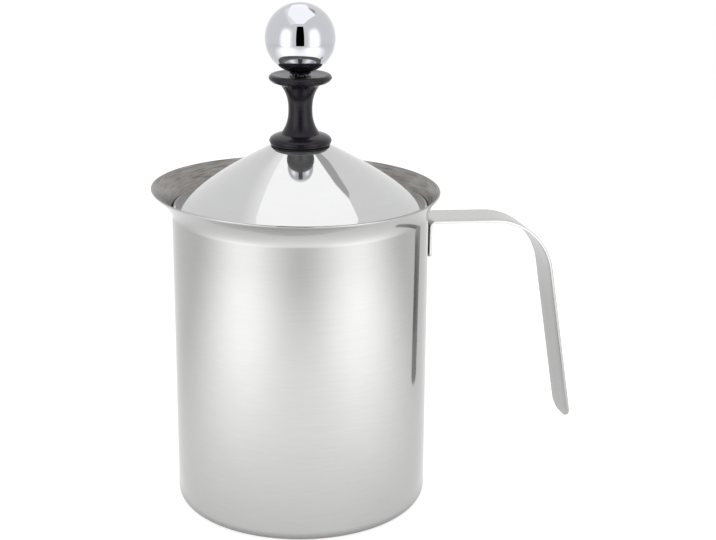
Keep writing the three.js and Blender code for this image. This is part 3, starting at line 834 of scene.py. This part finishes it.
addRing("lid_washer_eased", "lid_washer", lidWasher, hardwareSteel, "lid", "fastener_steel")
addNut("lid_nut_chamfered", "lid_nut", "lid", lidNut)
addNut("stop_nut_chamfered", "stop_nut", "rod", rodNut)
addNut("cap_nut_domed", "cap_nut", "rod", rodNut, capped=True)
for washer in ("upper_washer", "lower_washer"):
    addRing(washer + "_eased", washer, rodWasher, hardwareSteel, "rod", "fastener_steel")
print("fasteners ready")

# Ball knob: chromed ball with a small flat underneath, and the black insert in its socket.
ball = {
    "radius": 13.45, "flatRadius": 4.7, "socketRadius": 4.4, "socketGap": 0.3, "flatEase": 0.2,
    "arcSteps": 72, "segments": 144,
}
insert = {"bore": 2.6, "radius": 4.1, "ease": 0.25, "segments": 64}


def ballOutline():
    radius, socket = ball["radius"], ball["socketRadius"]
    centre = endsOf("ball_knob")[1] - radius
    flatAngle = -math.degrees(math.acos(ball["flatRadius"] / radius))
    flat = centre + radius * math.sin(math.radians(flatAngle))
    socketTop = endsOf("knob_insert")[1] + ball["socketGap"]
    outside = arcPoints((0, centre), radius, flatAngle, 90, ball["arcSteps"])
    flatEnd = rounded([(socket, flat), (*outside[0], ball["flatEase"]), outside[1]], steps=4, closed=False)
    return [(0, socketTop), (socket, socketTop), *flatEnd, *outside[2:-1], (0, centre + radius)]


addTurned(
    "ball_knob_chromed", ballOutline(), ball["segments"], ballChrome,
    "knob", "ball_chrome", "ball_knob", closed=False,
)
addRing("knob_insert_moulded", "knob_insert", insert, spoolPlastic, "knob", "insert_plastic")

# Plunger rod: bright rod, threaded at both ends.
rod = {
    "radius": 2.5, "chamfer": 0.4, "lowThread": 26.5, "highThread": 11, "threadLimit": 0.5, "segments": 40,
}


def rodPiece():
    (low, high), ease = endsOf("plunger_rod"), rod["chamfer"]
    spans = (low + ease, low + rod["lowThread"]), (high - rod["highThread"], high - ease)
    heights = [height for span in spans for height in threadHeights(*span)]
    outline = [
        (0, low), (rod["radius"] - ease, low), *[(rod["radius"], height) for height in heights],
        (rod["radius"] - ease, high), (0, high),
    ]
    mesh = turnedMesh("plunger_rod_threaded", outline, rod["segments"], closed=False)
    return threaded("plunger_rod_threaded", mesh, rod["threadLimit"], *spans)


placed(rodPiece(), "rod", "rod_steel", "plunger_rod")
print("plunger ready")

# Screens: a woven net, held by a folded rim and a flanged eyelet.
screen = {
    "rimInner": 45.9, "rimOuter": 48.1, "rimHeight": 2.4, "rimRound": 0.75, "edgeRound": 0.3,
    "lipRound": 0.12, "rimSegments": 160, "netRadius": 46.6, "netHole": 5.3, "netSlot": 47,
    "slotHalf": 0.55, "wireRadius": 0.21, "wireSides": 4, "waveShare": 1.05, "pitch": 1.9,
    "stepsPerPitch": 4, "smoothAngle": 75, "bore": 2.9, "hubFlange": 7, "hubGroove": 4.9,
    "hubRound": 0.35, "grooveRound": 0.2, "hubSegments": 72,
}


# One family of wires lies along Y. The other is the same, turned a quarter and waved the other way.
def netTree():
    lengths = "pitch", "wave", "wireRadius", "netRadius", "netHole", "height"
    counts = "wires", "stations", "wireSides"
    tree, start = newShapeTree("wovenNet", lengths, ("stepsPerPitch",), counts)
    pitch, wires, stations = start["pitch"], start["wires"], start["stations"]
    step = pitch / start["stepsPerPitch"]
    firstWire, firstStation = (wires - 1) * -0.5 * pitch, (stations - 1) * -0.5 * step
    wire = rowOfPoints(tree, stations, joinVector(tree, 0, firstStation, 0), joinVector(tree, 0, step, 0))
    places = rowOfPoints(tree, wires, joinVector(tree, firstWire, 0, 0), joinVector(tree, pitch, 0, 0))
    row = addNode(tree, "GeometryNodeInstanceOnPoints", {"Points": places, "Instance": wire})
    family = addNode(tree, "GeometryNodeRealizeInstances", {0: row})
    other = addNode(tree, "GeometryNodeTransform", {"Geometry": family, "Rotation": (0, 0, quarterTurn)})
    x, y, _ = splitVector(addNode(tree, "GeometryNodeInputPosition"))
    swings = [calc(tree, "COSINE", part / pitch * math.pi) for part in (x, y)]
    swing = swings[0] * swings[1] * start["wave"]
    woven = addNode(tree, "GeometryNodeJoinGeometry", {0: [
        movedBy(tree, strands, joinVector(tree, 0, 0, wave + start["height"]))
        for strands, wave in ((family, swing), (other, swing * -1))
    ]})
    radius = axisRadius(x, y)
    outside = calc(tree, "GREATER_THAN", radius, start["netRadius"])
    inside = calc(tree, "LESS_THAN", radius, start["netHole"])
    trimmed = addNode(tree, "GeometryNodeDeleteGeometry", {
        "Geometry": woven, "Selection": calc(tree, "MAXIMUM", outside, inside),
    }, domain="POINT")
    return endTree(tree, start, wireAlong(tree, trimmed, start["wireRadius"], start["wireSides"]))


wovenNet = netTree()


def screenPieces(prefix, body):
    size = screen
    low, high = endsOf(prefix + "_screen_hub")
    middle = (low + high) / 2
    slotLow, slotHigh = middle - size["slotHalf"], middle + size["slotHalf"]
    halfCount = math.floor(size["netRadius"] / size["pitch"])
    net = shaped(newPiece(prefix + "_screen_net_woven"), wovenNet, {
        **size, "wave": size["wireRadius"] * size["waveShare"], "height": middle,
        "wires": 2 * halfCount + 1, "stations": 2 * (halfCount + 1) * size["stepsPerPitch"] + 1,
        "finish": wireSteel,
    })
    placed(net, body, "screen_steel", prefix + "_screen_net")
    inner, outer, lip, edge = size["rimInner"], size["rimOuter"], size["lipRound"], size["edgeRound"]
    rimLow, rimHigh = middle - size["rimHeight"] / 2, middle + size["rimHeight"] / 2
    rimOutline = rounded([
        (inner, rimLow, edge), (outer, rimLow, size["rimRound"]), (outer, rimHigh, size["rimRound"]),
        (inner, rimHigh, edge), (inner, slotHigh, lip), (size["netSlot"], slotHigh),
        (size["netSlot"], slotLow), (inner, slotLow, lip),
    ])
    bore, flangeEnd, groove = size["bore"], size["hubFlange"], size["hubGroove"]
    edge, lip = size["hubRound"], size["grooveRound"]
    hubOutline = rounded([
        (bore, low, edge), (flangeEnd, low, edge), (flangeEnd, slotLow, lip), (groove, slotLow),
        (groove, slotHigh), (flangeEnd, slotHigh, lip), (flangeEnd, high, edge), (bore, high, edge),
    ])
    for part, form, outline in (("rim", "folded", rimOutline), ("hub", "eyelet", hubOutline)):
        node, segments = prefix + "_screen_" + part, size[part + "Segments"]
        addTurned(node + "_" + form, outline, segments, hardwareSteel, body, "screen_steel", node)


screenPieces("lower", "rod")
screenPieces("upper", "upper_screen")
print("screens ready")

# Spring between the screens: a coil whose end turns close up and lie flat.
spring = {
    "radius": 5, "wireRadius": 0.45, "turns": 4.75, "stations": 260, "sides": 12, "smoothAngle": 60,
}


def springTree():
    lengths = "radius", "wireRadius", "lowEnd", "highEnd"
    tree, start = newShapeTree("closedSpring", lengths, ("turns",), ("stations", "sides"))
    radius, thick = start["radius"], start["wireRadius"]
    line = rowOfPoints(tree, start["stations"], (0, 0, 0), (0, 0, mm))
    share = addNode(tree, "GeometryNodeInputIndex") / (start["stations"] - 1)
    angle = share * start["turns"] * (2 * math.pi)
    climb = eased(share, 0, 1, start["lowEnd"] + thick, start["highEnd"] - thick)
    x, y = calc(tree, "COSINE", angle) * radius, calc(tree, "SINE", angle) * radius
    inputs = {"Geometry": line, "Position": joinVector(tree, x, y, climb)}
    coil = addNode(tree, "GeometryNodeSetPosition", inputs)
    return endTree(tree, start, wireAlong(tree, coil, thick, start["sides"]))


low, high = endsOf("screen_spring")
springSizes = {**spring, "lowEnd": low, "highEnd": high, "finish": wireSteel}
screenSpring = shaped(newPiece("screen_spring_coiled"), springTree(), springSizes)
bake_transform(screenSpring)
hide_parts("screen_spring")
print("spring ready")

# Camera, set by the photograph: where it stands, in metres, and which way it looks, in degrees.
cameraView = {
    "place": (-0.13372, -0.60042, 0.28732), "azimuth": 14.66, "pitch": 17.42, "roll": 0.45, "lens": 81.91,
}


def addCamera():
    view = cameraView
    camera = bpy.data.objects.new("camera", bpy.data.cameras.new("camera"))
    scene.collection.objects.link(camera)
    camera.data.lens = view["lens"]
    stand = Matrix.Translation(view["place"])
    for angle, axis in ((-view["azimuth"], "Z"), (90 - view["pitch"], "X"), (view["roll"], "Z")):
        stand = stand @ Matrix.Rotation(math.radians(angle), 4, axis)
    camera.matrix_world = stand
    scene.camera = camera


addCamera()

# Studio: a pale floor, two soft boxes beside the camera, panels overhead and a dark gap between the
# boxes. Azimuths are in degrees from the camera's own, and the overhead corners turn with it.
studio = {
    "worldFill": 0.55, "floorReach": 2500, "floorColour": 0.6, "floorGlow": 0.75, "floorSheen": 0.56,
    "fadeStart": 500, "fadeEnd": 1000, "contactStart": 41, "contactEnd": 58,
    "poolDistance": 300, "poolRadius": 330, "poolGlow": 1.05,
    "boxAzimuth": 48, "boxDistance": 540, "boxWidth": 560, "boxHeight": 640, "boxStrength": 2.35,
    "boxSoftness": 0.5, "gapDistance": 580, "gapWidth": 275, "gapHeight": 770,
    "panelHeight": 437, "panelStrength": 1.6, "stripStrength": 0.5,
    "hazeStrength": 1.3, "hazeLift": 4, "hazeSoftness": 0.32,
    "panelCorners": [
        (-60, -185), (60, -185), (176, 60), (163, 98), (131, 104), (104, 129), (85, 148), (78, 165),
        (60, 340), (-76, 340), (-100, 165), (-112, 129), (-123, 88), (-135, 31),
    ],
    "hazeCorners": [(-205, -185), (60, -185), (60, 340), (-190, 340)],
    "stripCorners": [
        (78, 165), (85, 148), (104, 129), (131, 104), (163, 98), (172, 124), (159, 155), (151, 199),
        (113, 200),
    ],
}
cameraAzimuth = math.degrees(math.atan2(cameraView["place"][0], -cameraView["place"][1]))


def studioSpot(azimuth, distance):
    facing = math.radians(cameraAzimuth + azimuth)
    return Vector((math.sin(facing) * distance, -math.cos(facing) * distance, 0))


def raysThatSee(tree, *kinds):
    seen, *others = [addNode(tree, "ShaderNodeLightPath", output=kind) for kind in kinds]
    for other in others:
        seen = calc(tree, "MAXIMUM", seen, other)
    return seen


# White to the camera and in reflections, and a softer fill light to everything else.
def whiteOrFill(tree):
    seen = raysThatSee(tree, "Is Camera Ray", "Is Glossy Ray", "Is Transmission Ray")
    return fitRange(seen, 0, 1, studio["worldFill"], 1)


def addWorld():
    scene.world = bpy.data.worlds.new("studio")
    scene.world.use_nodes = True
    tree = scene.world.node_tree
    sky = tree.nodes["Background"]
    tree.links.new(whiteOrFill(tree).socket, sky.inputs["Strength"])
    sky.inputs["Color"].default_value = (1, 1, 1, 1)


def newGlow(name):
    finish = bpy.data.materials.new(name)
    finish.use_nodes = True
    finish.node_tree.nodes.clear()
    return finish, finish.node_tree


def mixed(tree, share, first, second):
    return addNode(tree, "ShaderNodeMixShader", {0: share, 1: first, 2: second})


# The floor is pale paper that keeps the object's shadow. To the camera it glows up to white. In reflections
# it has two painted pools of light beside the camera and a painted shadow where the jug stands.
def addFloor():
    size = studio
    finish, tree = newGlow("floor_paper")
    level, side = size["floorColour"], size["floorReach"]
    paper = addNode(tree, "ShaderNodeBsdfDiffuse", {"Color": (level, level, level, 1)})
    x, y, _ = splitVector(objectPlace(tree))
    reach, glow = axisRadius(x, y), size["floorSheen"]
    # Painted light: two soft pools of glow, seen only in reflections.
    for azimuth in (-size["boxAzimuth"], size["boxAzimuth"]):
        centre = studioSpot(azimuth, size["poolDistance"]) * mm
        away = axisRadius(x - centre.x, y - centre.y)
        glow = eased(away, 0, size["poolRadius"] * mm, size["poolGlow"], 0) + glow
    # Painted shadow: in reflections the floor's glow fades out close to the jug.
    contactShadow = eased(reach, size["contactStart"] * mm, size["contactEnd"] * mm)
    mirrored = raysThatSee(tree, "Is Glossy Ray", "Is Transmission Ray") * contactShadow
    strength = mirrored * glow + raysThatSee(tree, "Is Camera Ray") * size["floorGlow"]
    near = addNode(tree, "ShaderNodeEmission", {"Strength": strength})
    lit = addNode(tree, "ShaderNodeAddShader", {0: paper, 1: near})
    far = addNode(tree, "ShaderNodeEmission", {"Strength": whiteOrFill(tree)})
    distance = eased(reach, size["fadeStart"] * mm, size["fadeEnd"] * mm)
    addNode(tree, "ShaderNodeOutputMaterial", {"Surface": mixed(tree, distance, lit, far)})
    corners = [(-side, -side, 0), (side, -side, 0), (side, side, 0), (-side, side, 0)]
    return addSheet("floor", corners, finish)


# A glowing sheet that may fade out towards its sides and its top.
def panelFinish(name, strength, soft=0):
    finish, tree = newGlow(name)
    surface = addNode(tree, "ShaderNodeEmission", {"Strength": strength})
    if soft:
        u, v, _ = splitVector(addNode(tree, "ShaderNodeUVMap", uv_map="panel"))
        shown = eased(calc(tree, "PINGPONG", u, 0.5), 0, soft) * eased(v, 1 - soft, 1, 1, 0)
        surface = mixed(tree, shown, addNode(tree, "ShaderNodeBsdfTransparent"), surface)
    addNode(tree, "ShaderNodeOutputMaterial", {"Surface": surface})
    return finish


def addSheet(name, corners, finish):
    places, face = [(0, 0), (1, 0), (1, 1), (0, 1)], tuple(range(len(corners)))
    return newPiece(name, newMesh(name, corners, [face], "panel", places), finish)


# A sheet that reflections see and that may give light, but that the camera looks through.
def addPanel(name, corners, finish, givesLight=True):
    panel = addSheet(name, corners, finish)
    panel.visible_camera = False
    panel.visible_shadow = False
    panel.visible_diffuse = givesLight
    return panel


def uprightPanel(name, part, azimuth, finish, givesLight=True):
    middle = studioSpot(azimuth, studio[part + "Distance"])
    side = Vector((-middle.y, middle.x, 0)).normalized() * studio[part + "Width"] / 2
    up = Vector((0, 0, studio[part + "Height"]))
    corners = [middle - side, middle + side, middle + side + up, middle - side + up]
    return addPanel(name, corners, finish, givesLight)


def addStudio():
    size = studio
    addWorld()
    softGlow = panelFinish("soft_box_glow", size["boxStrength"], size["boxSoftness"])
    staged = [
        addFloor(),
        uprightPanel("soft_box_left", "box", -size["boxAzimuth"], softGlow),
        uprightPanel("soft_box_right", "box", size["boxAzimuth"], softGlow),
        uprightPanel("dark_gap", "gap", 0, panelFinish("dark_gap", 0.0), False),
    ]
    turn = Matrix.Rotation(math.radians(cameraAzimuth), 3, "Z")
    for part, lift, soft, givesLight in (
        ("panel", 0, 0, True), ("strip", 0, 0, False),
        ("haze", size["hazeLift"], size["hazeSoftness"], False),
    ):
        corners = [turn @ Vector((x, y, size["panelHeight"] + lift)) for x, y in size[part + "Corners"]]
        finish = panelFinish("overhead_" + part, size[part + "Strength"], soft)
        staged.append(addPanel("overhead_" + part, corners, finish, givesLight))


addStudio()
scene.view_settings.view_transform = "Standard"
print("studio ready")
